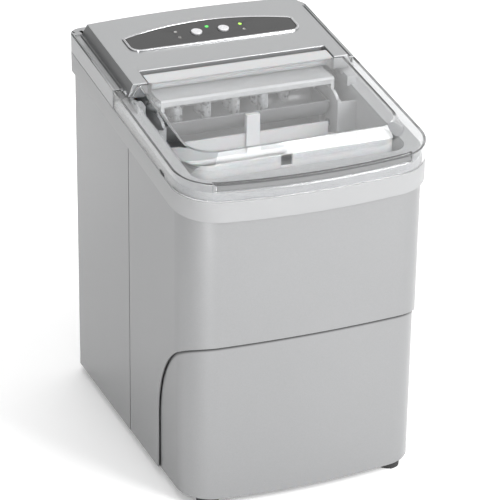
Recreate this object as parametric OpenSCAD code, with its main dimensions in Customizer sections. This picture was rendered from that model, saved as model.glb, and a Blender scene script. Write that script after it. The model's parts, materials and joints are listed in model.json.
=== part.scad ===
// Countertop ice maker. Origin on the floor under the middle of the body,
// front face towards -Y, +Z up, millimetres.

/* [Housing] */
// Width of the body shells
body_w = 216; // [206:1:262]
// Depth of the body shells
body_d = 286; // [280:1:345]
// Height of the top rim at its front edge
rim_h = 299; // [294:1:360]
// Fall of the whole top towards the front, degrees
slope = 6.6; // [5:0.2:8]
// How far the middle of the front bows out
bow = 10; // [6:0.5:14]
// Radius of the two front corners
front_r = 34; // [28:1:38]
// Radius of the two rear corners
rear_r = 9; // [6:1:16]
// Thickness of the outer shells
wall = 1.6; // [1.2:0.1:2.2]
// Gap under the body that the feet hold open
foot_h = 8; // [6:1:14]
// How far the lower front panel is set back
step_in = 2; // [1.4:0.1:3]
// Height of the lower front panel's top edge
seam_h = 155; // [140:1:170]

/* [Top frame] */
// How far the top frame stands out past the body
frame_out = 3; // [2:0.5:5]
// Height of the top frame and the lid skirt together
frame_h = 34; // [31:1:40]
// Height of the lid skirt and of the rear cover's wall
skirt_h = 16.5; // [15:0.5:19]
// Height of the raised rear panel above the rim
raise_h = 10; // [8:0.5:12]

/* [Lid] */
// Thickness of the clear lid
lid_t = 2; // [1.6:0.1:2.6]
// Radius of the hinge pins
pin_r = 3; // [2:0.25:3.5]

/* [Ice making] */
// Distance from one freezing finger to the next
finger_pitch = 26; // [24:0.5:28]
// Radius of a freezing finger
finger_r = 4.5; // [3.5:0.25:5]
// Inner radius of the water tray's trough
trough_r = 17; // [16:0.5:18]
// Lift of the basket that the closed lid leaves free
basket_lift = 8; // [4:1:8]
// Wall of the tank, the basket and the tray
tub_wall = 2; // [1.6:0.2:2.4]

/* [Cooling] */
// Radius of the compressor's can
can_r = 43; // [36:1:44]
// Height of the compressor's can
can_h = 138; // [110:1:150]
// Radius of the fan
fan_r = 39; // [32:1:42]

/* [Controls] */
// Radius of the two push buttons
button_r = 5; // [4:0.25:6]
// Distance between the two push buttons
button_pitch = 25; // [20:1:30]
// Travel of a push button
button_travel = 1.2; // [0.8:0.1:1.3]

/* [Hidden] */

// Running clearance of a shaft in its hole, and gap between pieces that part
fit = 0.05;
gap = 0.3;
eps = 0.01;
// Longer than the object in every direction
big = 700;

half_w = body_w / 2;
front_y = -body_d / 2;
rear_y = body_d / 2;
base_t = 2.5;
base_top = foot_h + base_t;
joint_y = 1;
joint_gap = 0.8;

// The front is an arc of radius bow_r, and the corners are tangent to it
bow_r = (half_w * half_w + bow * bow) / (2 * bow);
bow_y = front_y + bow_r;
corner_x = half_w - front_r;
corner_y = bow_y - sqrt(pow(bow_r - front_r, 2) - corner_x * corner_x);
wedge = (bow_r + 20) / (bow_r - front_r);

// Heights are measured up from the sloping rim
function rim_z(y) = rim_h + (y - front_y) * tan(slope);
shell_top = -frame_h + 8;
ledge_t = 2.5;
deck_t = 2;

// Finger recess in the front of the lid's skirt
grip_x = half_w - 23;
grip_in = 2.6;
grip_low = -7.3;
grip_sill = 1.6;
deck_top = grip_low - grip_sill - 0.6;

// Lower front panel's edge: upright, then an arc that turns into the front
seam_y = front_y + 76;
seam_r = 94;
seam_z = seam_h - seam_r;
// How far the lower front panel runs on behind the front panel
panel_rise = 4;

// Lid hinge: a barrel at the lid's rear edge, between the cover's two ears
barrel_r = 7;
barrel_x = half_w - 24;
ear_gap = 1;
ear_y = 16;
notch_y = 37;
hinge_y = notch_y - barrel_r - ear_gap;
hinge_z = rim_z(hinge_y) + raise_h - 0.5 - barrel_r;
lid_top = raise_h - 0.5;
lid_rear = hinge_y - 0.5;
skirt_out = frame_out - 0.2;
cover_y = hinge_y + 1;
dome_x = half_w - 8;
dome_front = front_y + 30;
dome_rear = ear_y - 1.5;
dome_lean = 6;
cover_x = half_w - 5;
cover_t = 2;
groove_d = 1.2;
bumper_y = front_y + 54;
bumper_l = 7;

// Tank: a wide upper part and a shorter lower part
foam = 9;
foam_gap = 4;
tank_x = half_w - wall - 0.4 - foam - 1;
tank_front = front_y + 24;
tank_rear = 52;
sump_rear = 20;
sump_top = 205;
tank_floor = 128;
tank_rear_top = -22;
mouth_x = tank_x - tub_wall;
mouth_front = tank_front + tub_wall;

// Ice making group
finger_x = [for (i = [0:4]) -62 + i * finger_pitch];
tube_r = 4;
tube_cover_t = 1.5;
tube_cover_top = hinge_z - barrel_r - 0.5;
tube_z = tube_cover_top - tube_cover_t - tube_r - 0.4;
finger_tip = tube_z - 19;
tray_y = 35;
tray_z = tube_z - 13;
tray_x = 73;
trough_y = tray_y - trough_r - tub_wall - 1;
row_front = trough_y - 7;
row_rear = trough_y + 9;
pivot_r = 3;
bracket_x = 76;
bracket_t = 3;
bracket_front = -14;
bracket_rear = 46;
shovel_y = -8;
shovel_z = tray_z - 31;
shovel_h = 14;
shovel_reach = 31;
shovel_x = 70;
shovel_pin = 2.5;
bracket_low = shovel_z - 6;
bracket_high = tube_z - tube_r - 1;
// Where the two ends of the freezing tube leave towards the rear
tube_front_x = -bracket_x - 4;
tube_rear_x = -bracket_x + 6;
hose_x = 63;
sensor_y = 4;
sensor_z = shovel_z + 8;
motor_r = 15;
motor_t = 11;

// Basket
basket_x = mouth_x - 6;
basket_front = mouth_front + 13;
basket_rear = -18;
basket_z = 196;
basket_low = 240;
basket_high = rim_z(basket_front) + lid_top - lid_t - basket_lift - 3;
basket_r = 10;
shelf_z = basket_z - gap;

// Level float
float_at = [-70, front_y + 52];
stem_r = 4;
float_r = 11;
float_h = 14;
float_z = tank_floor + tub_wall + 2;
float_travel = 16;

// Cooling group, placed from the rear wall and the right wall
can_at = [-50, rear_y - wall - can_r - 8];
mount_h = 9.5;
can_z = base_top + mount_h + 2.5;
coil_x = half_w - wall - 5.4;
coil_t = 16;
coil_y = rear_y - 99;
coil_d = 88;
coil_z = 36;
coil_h = 104;
shroud_x = coil_x - coil_t - 1;
shroud_t = 14;
fan_y = coil_y + coil_d / 2;
fan_z = coil_z + coil_h / 2;
fan_face = shroud_x - shroud_t;
shaft_r = 2.5;
pump_at = [46, -60];
pump_r = 20;
pump_z = 66;
pump_h = 40;
hose_r = 4;
pipe_r = 3;
hose_y = tank_rear + foam + 6;
discharge_y = hose_y + 12;
drier_at = [10, rear_y - 23];
valve_at = [0, hose_y + 34];
return_z = 24;

// Drain on the right side
drain_y = -36;
drain_z = 38;
drain_r = 6;
plug_r = 4.5;

// Control panel, in a frame that lies on the raised rear panel
panel_y = 89;
panel_x = 77;
panel_front = -18;
panel_back = 19.6;
panel_arc = 200;
ring_w = 2;
window_top = 0.8;
led_at = [[-30, 5.5], [-30, -5], [0, 8], [30, 5], [30, -5.2]];
led_r = 1.5;
board_z = -12;
switch_h = 2.4;
// A pressed button's stem stops just above its switch
stem_end = board_z + switch_h + button_travel + 0.4;

module box(x0, x1, y0, y1, z0, z1) {
    translate([x0, y0, z0]) cube([x1 - x0, y1 - y0, z1 - z0]);
}

// Draws (y, z) outlines and runs them across the object
module across(len) {
    rotate([90, 0, 90]) linear_extrude(len, center = true) children();
}

// Plan of the body, drawn inwards by i
module plan(i = 0) {
    circle_n = 96;
    for (s = [-1, 1]) {
        translate([s * corner_x, corner_y]) circle(front_r - i, $fn = circle_n);
        translate([s * (half_w - rear_r), rear_y - rear_r]) circle(rear_r - i, $fn = circle_n);
    }
    translate([-half_w + i, corner_y]) square([body_w - 2 * i, rear_y - rear_r - corner_y]);
    translate([-half_w + rear_r, corner_y]) square([body_w - 2 * rear_r, rear_y - i - corner_y]);
    intersection() {
        translate([0, bow_y]) circle(bow_r - i, $fn = 720);
        polygon([
            [-corner_x, corner_y], [-corner_x * wedge, bow_y - (bow_y - corner_y) * wedge],
            [corner_x * wedge, bow_y - (bow_y - corner_y) * wedge], [corner_x, corner_y]
        ]);
    }
}

// All that lies between two heights above the sloping rim
module slab(lo, hi) {
    y0 = front_y - 60;
    y1 = rear_y + 60;
    across(big) polygon([
        [y0, rim_z(y0) + lo], [y1, rim_z(y1) + lo], [y1, rim_z(y1) + hi], [y0, rim_z(y0) + hi]
    ]);
}

// A plan outline stood up between two heights above the rim
module stand(lo, hi) {
    intersection() {
        linear_extrude(big) children();
        slab(lo, hi);
    }
}

// Ring between two insets of the plan
module ring(outer, inner) {
    difference() {
        plan(outer);
        plan(inner);
    }
}

module before(y) {
    translate([-big, y - 2 * big]) square([2 * big, 2 * big]);
}

module behind(y) {
    translate([-big, y]) square([2 * big, 2 * big]);
}

// Space of the lower front panel, grown by g
module lower_zone(g = 0) {
    across(big) {
        translate([seam_y + g - seam_r, seam_z]) circle(seam_r + g, $fn = 180);
        translate([seam_y - seam_r - big, -10]) square([big + seam_r + g, seam_z + 10]);
        translate([seam_y - seam_r - big, -10]) square([big, seam_h + g + 10]);
    }
}

module rod(a, b, r) {
    v = b - a;
    translate(a)
        rotate([0, acos(v[2] / norm(v)), atan2(v[1], v[0])])
            cylinder(h = norm(v), r = r, $fn = 32);
}

function unit(v) = v / norm(v);
function turn(a, b) = acos(a * b);

// Round pipe: straight runs that end a little way inside slightly wider elbows
module pipe(points, r, bend = 8) {
    last = len(points) - 1;
    into = 1;
    dirs = [for (i = [0:last - 1]) unit(points[i + 1] - points[i])];
    cut = [for (i = [0:last]) i == 0 || i == last ? 0 : bend * tan(turn(dirs[i - 1], dirs[i]) / 2)];
    trim = [for (c = cut) max(0, c - into)];
    for (i = [1:last])
        rod(points[i - 1] + dirs[i - 1] * trim[i - 1], points[i] - dirs[i - 1] * trim[i], r);
    for (i = [1:last - 1]) elbow(points[i], dirs[i - 1], dirs[i], r + 0.4, bend, cut[i]);
}

// One bend: z is its axis, x points at its start and y along the pipe
module elbow(p, a, b, r, bend, cut) {
    z = unit(cross(a, b));
    x = cross(a, z);
    centre = p - a * cut - x * bend;
    multmatrix([for (i = [0:2]) [x[i], a[i], z[i], centre[i]]])
        rotate_extrude(angle = turn(a, b), $fn = 96) translate([bend, 0]) circle(r, $fn = 32);
}

// Upright slot with round ends
module slot(len, w) {
    square([w, len - w], center = true);
    for (s = [-1, 1]) translate([0, s * (len - w) / 2]) circle(w / 2, $fn = 24);
}

module both_sides() {
    for (s = [0, 1]) mirror([s, 0, 0]) children();
}

module hinge_line(x0, x1, r) {
    translate([x0, hinge_y, hinge_z]) rotate([0, 90, 0]) cylinder(h = x1 - x0, r = r, $fn = 64);
}

module along_x(x0, x1, y, z, r) {
    translate([x0, y, z]) rotate([0, 90, 0]) cylinder(h = x1 - x0, r = r, $fn = 64);
}

// ---- housing ----

module base_plan() {
    plan(wall + step_in);
    intersection() {
        plan(wall);
        behind(seam_y + panel_rise + gap);
    }
}

module base_tray() {
    color("dimgray") difference() {
        union() {
            translate([0, 0, foot_h]) linear_extrude(base_t) base_plan();
            translate([0, 0, foot_h]) linear_extrude(14) difference() {
                base_plan();
                plan(wall + step_in + 1.5);
            }
        }
        for (x = [-1, 1], y = [-1, 1])
            translate([x * (half_w - 24), y * (rear_y - 22), 0]) cylinder(h = 30, r = 3.6, $fn = 32);
        translate([0, 0, foot_h - 1]) linear_extrude(base_t + 2)
            for (i = [-4:4]) translate([i * 9, -20]) slot(46, 4);
    }
}

module feet() {
    color("black") for (x = [-1, 1], y = [-1, 1])
        translate([x * (half_w - 24), y * (rear_y - 22), 0]) {
            cylinder(h = foot_h, r = 9.5, $fn = 48);
            cylinder(h = base_top, r = 3.6, $fn = 32);
        }
}

module front_panel() {
    color("silver") difference() {
        intersection() {
            translate([0, 0, foot_h]) linear_extrude(big) intersection() {
                ring(0, wall);
                before(joint_y);
            }
            slab(-big, shell_top);
        }
        lower_zone();
        drain_cut();
    }
}

module lower_front_panel() {
    color("silver") intersection() {
        translate([0, 0, foot_h]) linear_extrude(big) ring(step_in, step_in + wall);
        lower_zone(panel_rise);
    }
}

module vent_field() {
    // back: two columns of slots
    for (c = [-1, 1], i = [0:9])
        translate([c * 38, rear_y, 62 + i * 13]) rotate([90, 0, 0]) rotate([0, 0, 90])
            linear_extrude(12, center = true) slot(54, 4);
    // right side: one field in front of the condenser
    for (i = [0:12])
        translate([half_w, coil_y + 8 + i * 6, fan_z]) rotate([90, 0, 90])
            linear_extrude(12, center = true) slot(84, 3);
}

module drain_cut() {
    along_x(half_w - 10, half_w + 10, drain_y, drain_z, drain_r);
}

module rear_shell() {
    color("gainsboro") difference() {
        intersection() {
            translate([0, 0, foot_h]) linear_extrude(big) intersection() {
                ring(0, wall);
                behind(joint_y + joint_gap);
            }
            slab(-big, shell_top);
        }
        vent_field();
        translate([-70, rear_y + 10, 38]) rotate([90, 0, 0]) cylinder(h = 20, r = 7, $fn = 48);
        screw_places() cylinder(h = 12, r = 1.6, $fn = 24, center = true);
    }
    // tongue that backs the side joint
    color("gainsboro") intersection() {
        translate([0, 0, base_top + 12]) linear_extrude(big) intersection() {
            ring(wall, wall + 1.2);
            translate([-big, joint_y - 6]) square([2 * big, 14]);
        }
        slab(-big, shell_top - 8);
    }
}

module screw_places() {
    for (x = [-1, 1], z = [26, 236])
        translate([x * (half_w - 16), rear_y, z]) rotate([-90, 0, 0]) children();
}

module cover_screws() {
    color("silver") screw_places() {
        difference() {
            cylinder(h = 1.8, r = 3.5, $fn = 32);
            translate([-3, -0.4, 1]) cube([6, 0.8, 2]);
            translate([-0.4, -3, 1]) cube([0.8, 6, 2]);
        }
        translate([0, 0, -7]) cylinder(h = 7, r = 1.6, $fn = 24);
    }
}

module top_frame() {
    color("lightgray") difference() {
        union() {
            stand(-frame_h, -skirt_h) ring(-frame_out, 0);
            stand(shell_top, shell_top + ledge_t) ring(-eps, 6);
            stand(shell_top + ledge_t - eps, deck_top) intersection() {
                ring(0.6, 2.8);
                before(cover_y - 1);
            }
            stand(deck_top - deck_t, deck_top) intersection() {
                plan(0.7);
                before(cover_y - 1);
            }
            // blocks that stop the lid beside the ears
            both_sides() stand(deck_top - eps, -lid_t - 0.6)
                translate([mouth_x - 3, 0]) square([9, dome_rear - 4]);
        }
        stand(-frame_h - 1, deck_top + 1) difference() {
            intersection() {
                mouth_plan();
                before(tank_rear);
            }
            both_sides() translate([mouth_x - 3, 0]) square([12, dome_rear - 4]);
        }
    }
}

module mouth_plan() {
    r = 14;
    translate([-mouth_x, mouth_front + r]) square([2 * mouth_x, big]);
    translate([-mouth_x + r, mouth_front]) square([2 * (mouth_x - r), big]);
    for (s = [-1, 1]) translate([s * (mouth_x - r), mouth_front + r]) circle(r, $fn = 64);
}

// Plan of the raised rear panel, drawn inwards by i
module raised_plan(i) {
    intersection() {
        translate([-cover_x + i, ear_y]) square([2 * (cover_x - i), rear_y - 2 - i - ear_y]);
        translate([0, rear_y - 2 - i - 900]) circle(900, $fn = 720);
    }
}

module raised_block(i, top) {
    hull() {
        stand(-lid_t - 1 - i, -lid_t - 1 - i + eps) raised_plan(i);
        stand(top - eps, top) raised_plan(i + 5);
    }
}

module top_cover() {
    color("silver") difference() {
        union() {
            stand(-skirt_h, 0) intersection() {
                plan(-frame_out);
                behind(cover_y);
            }
            raised_block(0, raise_h);
        }
        // hollow below the rim and inside the raised panel, leaving the ears whole
        stand(-skirt_h - 1, -cover_t) intersection() {
            plan(-frame_out + cover_t);
            behind(notch_y + cover_t);
        }
        intersection() {
            raised_block(cover_t, raise_h - cover_t);
            stand(-big, big) behind(notch_y + cover_t);
        }
        // notch for the lid's barrel
        stand(-skirt_h - 1, raise_h + 1)
            translate([-barrel_x - ear_gap, -big / 2]) square([2 * (barrel_x + ear_gap), big / 2 + notch_y]);
        // open underside beneath the ears
        stand(-skirt_h - 1, -lid_t - 1.1) intersection() {
            plan(-frame_out + cover_t);
            behind(-10);
            before(notch_y + cover_t + 1);
        }
        panel_frame() translate([0, 0, -6]) linear_extrude(12) panel_plan(0);
        both_sides() hinge_line(barrel_x, barrel_x + 15, pin_r);
        // groove in the rim beside the raised panel
        stand(-groove_d, 0.1) both_sides() translate([cover_x + 0.3, cover_y + 1])
            square([half_w - cover_x - 0.1, rear_y - rear_r - cover_y - 1]);
    }
    // front wall behind the barrel, with ways through for the freezing tube and the hose
    color("silver") difference() {
        stand(-skirt_h, -lid_t)
            translate([-barrel_x - ear_gap, notch_y]) square([2 * (barrel_x + ear_gap), cover_t]);
        box(tube_front_x - 6, tube_rear_x + 6, notch_y - 1, notch_y + cover_t + 1, 0, tube_z + tube_r + 1.2);
        box(hose_x - 6, hose_x + 6, notch_y - 1, notch_y + cover_t + 1, 0, tube_z + tube_r + 1.2);
    }
}

module hinge_pins() {
    color("gray") both_sides() hinge_line(barrel_x - 7, barrel_x + 15, pin_r);
}

// ---- lid ----

module dome_plan(i) {
    r = 22;
    translate([-dome_x + i, dome_front + i + r]) square([2 * (dome_x - i), dome_rear - dome_front - i - r]);
    translate([-dome_x + i + r, dome_front + i]) square([2 * (dome_x - i - r), dome_rear - dome_front - i]);
    for (s = [-1, 1]) translate([s * (dome_x - i - r), dome_front + i + r]) circle(r, $fn = 64);
}

module dome(i, lo, hi) {
    hull() {
        stand(lo, lo + eps) dome_plan(i);
        stand(hi - eps, hi) dome_plan(i + dome_lean);
    }
}

module grip_span(x) {
    translate([-x, -big]) square([2 * x, big]);
}

module lid() {
    color("lightblue", 0.5) difference() {
        union() {
            stand(-lid_t, 0) intersection() {
                plan(-skirt_out);
                union() {
                    before(dome_rear);
                    difference() {
                        before(lid_rear);
                        square([2 * (cover_x + 0.6), 4 * big], center = true);
                    }
                }
            }
            stand(-skirt_h + gap, -eps) intersection() {
                ring(-skirt_out, -skirt_out + lid_t);
                before(lid_rear);
            }
            stand(grip_low - grip_sill, -eps) intersection() {
                ring(-skirt_out, -skirt_out + grip_in + lid_t);
                grip_span(grip_x + lid_t);
            }
            dome(0, -lid_t, lid_top);
            stand(-lid_t, lid_top)
                translate([-barrel_x, dome_rear - 1]) square([2 * barrel_x, hinge_y - dome_rear + 1]);
            hinge_line(-barrel_x, barrel_x, barrel_r);
        }
        // finger recess, its wall set back under the front edge
        stand(grip_low, -lid_t) intersection() {
            ring(-skirt_out - 1, -skirt_out + grip_in);
            grip_span(grip_x);
        }
        dome(lid_t, -lid_t - eps, lid_top - lid_t);
        intersection() {
            stand(-lid_t - 1, lid_top - lid_t)
                translate([-barrel_x + lid_t, dome_rear - 8]) square([2 * (barrel_x - lid_t), hinge_y - dome_rear + 8]);
            across(big) difference() {
                translate([-big / 2, 0]) square([big, big]);
                translate([hinge_y, hinge_z]) circle(barrel_r, $fn = 64);
            }
        }
        hinge_line(-barrel_x + 4, barrel_x - 4, barrel_r - lid_t);
        hinge_line(-barrel_x - 1, barrel_x + 1, pin_r + fit);
        // notches for the bumpers
        stand(-skirt_h - 1, -skirt_h + 2.9)
            translate([-big, bumper_y - 1]) square([2 * big, bumper_l + 2]);
    }
}

module lid_bumpers() {
    color("black") stand(-skirt_h, -skirt_h + 2.5) intersection() {
        ring(-skirt_out, -skirt_out + lid_t);
        translate([-big, bumper_y]) square([2 * big, bumper_l]);
    }
}

// ---- controls ----

module panel_frame() {
    translate([0, panel_y, rim_z(panel_y) + raise_h]) rotate([slope, 0, 0]) children();
}

// Control panel outline: straight front, arched back, round front corners, grown by -i
module panel_plan(i) {
    r = 8;
    intersection() {
        union() {
            translate([-panel_x + i, panel_front + r]) square([2 * (panel_x - i), panel_back - panel_front]);
            translate([-panel_x + r, panel_front + i]) square([2 * (panel_x - r), panel_back - panel_front]);
            for (s = [-1, 1]) translate([s * (panel_x - r), panel_front + r]) circle(r - i, $fn = 48);
        }
        translate([0, panel_back - panel_arc]) circle(panel_arc - i, $fn = 360);
    }
}

module control_bezel() {
    color("silver") panel_frame() linear_extrude(1.2) difference() {
        panel_plan(-ring_w);
        panel_plan(0);
    }
}

module control_window() {
    color("black") panel_frame() difference() {
        union() {
            translate([0, 0, -cover_t]) linear_extrude(cover_t + window_top) panel_plan(0.15);
            translate([0, 0, -cover_t - 2]) linear_extrude(2) panel_plan(-1.5);
            for (x = [-52, 52], y = [-10, 3])
                translate([x, y, board_z]) cylinder(h = -board_z - cover_t - 1, r = 2.5, $fn = 24);
        }
        for (s = [-1, 1]) translate([s * button_pitch / 2, 0, -8]) cylinder(h = 16, r = button_r + 0.2, $fn = 48);
        for (p = led_at) translate([p[0], p[1], -8]) cylinder(h = 16, r = led_r, $fn = 24);
    }
}

module control_board() {
    color("darkgreen") panel_frame() {
        translate([-60, -14, board_z - 1.6]) cube([120, 28, 1.6]);
        for (s = [-1, 1]) translate([s * button_pitch / 2, 0, board_z]) {
            translate([-3, -3, 0]) cube([6, 6, 1.6]);
            cylinder(h = switch_h, r = 1.7, $fn = 24);
        }
        translate([40, -10, board_z - 8]) cube([12, 8, 6.4]);
    }
}

module status_leds() {
    color("lime") panel_frame() for (p = led_at) translate([p[0], p[1], board_z])
        cylinder(h = window_top - board_z + 0.2, r = led_r, $fn = 24);
}

module push_button(x) {
    color("silver") panel_frame() translate([x, 0, 0]) {
        translate([0, 0, -cover_t - 4.4]) cylinder(h = 2, r = button_r + 1.5, $fn = 48);
        translate([0, 0, -cover_t - 2.5]) cylinder(h = cover_t + 2.5 + window_top + 1.4, r = button_r, $fn = 48);
        translate([0, 0, stem_end]) cylinder(h = -cover_t - 3 - stem_end, r = 2, $fn = 24);
    }
}

module power_button() { push_button(-button_pitch / 2); }
module select_button() { push_button(button_pitch / 2); }

// ---- ice making ----

module evaporator() {
    right = finger_x[4] + 10;
    exit_y = tank_rear + 8;
    color("silver") {
        pipe([[tube_front_x, exit_y, tube_z], [tube_front_x, row_front, tube_z], [right, row_front, tube_z],
            [right, row_rear, tube_z], [tube_rear_x, row_rear, tube_z], [tube_rear_x, exit_y, tube_z]], tube_r, 7.5);
        for (i = [0:4]) finger(finger_x[i], row_rear);
        for (i = [0:3]) finger(finger_x[i], row_front);
    }
}

module finger(x, y) {
    translate([x, y, finger_tip + finger_r]) cylinder(h = tube_z - finger_tip - finger_r, r = finger_r, $fn = 32);
    translate([x, y, finger_tip + finger_r]) sphere(finger_r, $fn = 32);
}

// Plate over the tubes and under the lid's barrel, with a lip down its front edge
module evaporator_cover() {
    y0 = row_front - tube_r - 3.5;
    y1 = notch_y - 1;
    top = tube_cover_top;
    color("gainsboro") {
        across(2 * (bracket_x + bracket_t)) polygon([
            [y0, top - 6], [y0 + 2, top - 6], [y0 + 2, top - tube_cover_t],
            [y1, top - tube_cover_t], [y1, top], [y0 + 1.5, top], [y0, top - 1.5]
        ]);
        // posts that stand on the brackets
        both_sides() box(bracket_x, bracket_x + bracket_t, y0, y0 + 2, bracket_high, top - 5);
    }
}

module bracket_outline() {
    corner = -bracket_front;
    difference() {
        union() {
            translate([bracket_front, bracket_low]) square([bracket_rear - bracket_front, tray_z + 3 - bracket_low]);
            translate([0, tray_z - 5]) square([bracket_rear, bracket_high - tray_z + 5]);
            translate([0, bracket_high - corner]) circle(corner, $fn = 64);
        }
        translate([18, sensor_z]) circle(7, $fn = 48);
    }
}

module bracket() {
    difference() {
        union() {
            translate([bracket_x + bracket_t / 2, 0, 0]) across(bracket_t) bracket_outline();
            box(bracket_x + bracket_t - eps, mouth_x, bracket_front, bracket_rear, bracket_low, bracket_low + 2);
            box(bracket_x + bracket_t - eps, mouth_x, bracket_front, bracket_front + 2, bracket_low, tray_z + 1);
        }
        along_x(bracket_x - 1, bracket_x + bracket_t + 1, tray_y, tray_z, pivot_r + fit);
        along_x(bracket_x - 1, bracket_x + bracket_t + 1, shovel_y, shovel_z, shovel_pin + fit);
        along_x(bracket_x - 1, bracket_x + bracket_t + 1, sensor_y, sensor_z, 3);
    }
}

module left_bracket() { color("lightgray") mirror([1, 0, 0]) bracket(); }
module right_bracket() { color("lightgray") bracket(); }

module trough_outline(r) {
    intersection() {
        translate([trough_y, tray_z]) circle(r, $fn = 96);
        translate([-big / 2, tray_z - big]) square([big, big]);
    }
}

module water_tray() {
    arm_r = 6;
    color("gainsboro") {
        difference() {
            across(2 * tray_x) trough_outline(trough_r + tub_wall);
            across(2 * (tray_x - tub_wall)) trough_outline(trough_r);
        }
        // end cheeks carry the pivots
        both_sides() translate([tray_x - tub_wall / 2, 0, 0]) across(tub_wall) {
            translate([tray_y, tray_z]) circle(arm_r, $fn = 48);
            translate([tray_y - 8, tray_z - 6]) square([8, 12]);
            trough_outline(trough_r + tub_wall);
        }
        along_x(-bracket_x - bracket_t - 1.5, -tray_x + eps, tray_y, tray_z, pivot_r);
        along_x(tray_x - eps, bracket_x + bracket_t + 5, tray_y, tray_z, pivot_r);
    }
}

module tray_motor() {
    x0 = bracket_x + bracket_t + 0.4;
    color("dimgray") difference() {
        union() {
            along_x(x0, x0 + motor_t, tray_y, tray_z - 8, motor_r);
            box(x0, x0 + 2, tray_y - 22, tray_y + 10, tray_z - 14, tray_z - 2);
        }
        along_x(x0 - 1, x0 + 6, tray_y, tray_z, pivot_r + fit);
    }
}

module ice_shovel() {
    color("whitesmoke") {
        along_x(-bracket_x + 0.4, bracket_x - 0.4, shovel_y, shovel_z, 3);
        along_x(-bracket_x - 2, bracket_x + 2, shovel_y, shovel_z, shovel_pin);
        box(-shovel_x, shovel_x, shovel_y - 1, shovel_y + 1, shovel_z, shovel_z + shovel_h);
        // arm in the middle that sweeps the ice off the tray
        box(-6, 6, shovel_y - 2.5, shovel_y + 2.5, shovel_z, shovel_z + shovel_reach);
    }
}

// Side view of the basket: low at the rear, high at the front
module basket_side() {
    polygon([
        [basket_front, basket_z], [basket_rear, basket_z], [basket_rear, basket_low],
        [basket_rear - 26, basket_low + 4], [basket_front, basket_high]
    ]);
}

module basket_plan(i) {
    for (s = [-1, 1], y = [basket_front + basket_r, basket_rear - basket_r])
        translate([s * (basket_x - basket_r), y]) circle(basket_r - i, $fn = 48);
    translate([-basket_x + i, basket_front + basket_r])
        square([2 * (basket_x - i), basket_rear - basket_front - 2 * basket_r]);
    translate([-basket_x + basket_r, basket_front + i])
        square([2 * (basket_x - basket_r), basket_rear - basket_front - 2 * i]);
}

module ice_basket() {
    slot_n = 7;
    notch_x = -10;
    color("whitesmoke") difference() {
        intersection() {
            across(2 * basket_x) basket_side();
            linear_extrude(big) basket_plan(0);
        }
        translate([0, 0, basket_z + tub_wall]) linear_extrude(big) basket_plan(tub_wall);
        // drain slots in the floor
        for (i = [-slot_n:slot_n]) box(i * 11 - 1.5, i * 11 + 1.5, basket_front + 12, basket_rear - 12, basket_z - 1, basket_z + 5);
        for (i = [-3:3]) box(i * 22 - 2, i * 22 + 2, basket_front - 1, basket_front + 4, basket_z + 16, basket_z + 60);
        for (i = [-3:3]) box(i * 22 - 2, i * 22 + 2, basket_rear - 4, basket_rear + 1, basket_z + 10, basket_low - 8);
        for (i = [0:4]) box(-big, big, basket_front + 14 + i * 15, basket_front + 17 + i * 15, basket_z + 12, basket_low - 6);
        // notch in the front rim
        box(notch_x - 5, notch_x + 5, basket_front - 1, basket_front + 4, basket_high - 12, basket_high + 1);
    }
}

module tank_solid(i) {
    box(-tank_x + i, tank_x - i, tank_front + i, tank_rear - i, sump_top + i, big);
    box(-tank_x + i, tank_x - i, tank_front + i, sump_rear - i, tank_floor + i, sump_top + i + 1);
}

module water_tank() {
    color("gainsboro") difference() {
        union() {
            intersection() {
                difference() {
                    tank_solid(0);
                    tank_solid(tub_wall);
                }
                union() {
                    intersection() {
                        slab(-big, deck_top - deck_t);
                        stand(-big, big) before(hinge_y);
                    }
                    slab(-big, tank_rear_top);
                }
            }
            // shelves for the basket
            both_sides() box(basket_x - 6, tank_x - 1, basket_front + 4, basket_rear - 4, shelf_z - 4, shelf_z);
        }
        // drain outlet and pump inlet
        translate([84, drain_y, tank_floor - 1]) cylinder(h = 5, r = 5, $fn = 32);
        translate([pump_at[0], pump_at[1], tank_floor - 1]) cylinder(h = 5, r = 5, $fn = 32);
    }
}

module tank_insulation() {
    top = shell_top - 1;
    color("white") difference() {
        intersection() {
            union() {
                box(-tank_x - foam, tank_x + foam, tank_front - foam, tank_rear + foam - 1, sump_top - foam, big);
                box(-tank_x - foam, tank_x + foam, tank_front - foam, sump_rear + foam, tank_floor - foam, sump_top);
            }
            stand(-big, top) plan(wall + foam_gap);
        }
        box(-tank_x, tank_x, tank_front, tank_rear, sump_top, big);
        box(-tank_x, tank_x, tank_front, sump_rear, tank_floor, sump_top + 1);
        translate([84, drain_y, tank_floor - foam - 1]) cylinder(h = foam + 2, r = 7, $fn = 32);
        translate([pump_at[0], pump_at[1], tank_floor - foam - 1]) cylinder(h = foam + 2, r = 7, $fn = 32);
    }
}

module float_stem() {
    z1 = float_z + float_h + float_travel + 2;
    color("whitesmoke") translate([float_at[0], float_at[1], 0]) {
        translate([0, 0, tank_floor + tub_wall]) cylinder(h = 1.5, r = 9, $fn = 48);
        translate([0, 0, tank_floor + tub_wall]) cylinder(h = z1 - tank_floor - tub_wall, r = stem_r, $fn = 48);
        translate([0, 0, z1]) cylinder(h = 2, r = stem_r + 2, $fn = 48);
    }
}

module level_float() {
    color("white") translate([float_at[0], float_at[1], float_z]) difference() {
        cylinder(h = float_h, r = float_r, $fn = 64);
        translate([0, 0, -1]) cylinder(h = float_h + 2, r = stem_r + fit, $fn = 48);
        translate([0, 0, float_h - 2]) cylinder(h = 3, r = stem_r + 1.5, $fn = 48);
    }
}

module ice_sensors() {
    color("black") both_sides() {
        along_x(bracket_x - 1.5, bracket_x + bracket_t + 4, sensor_y, sensor_z, 3);
        along_x(bracket_x + bracket_t, bracket_x + bracket_t + 4, sensor_y, sensor_z, 5);
    }
}

// ---- water ----

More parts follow.
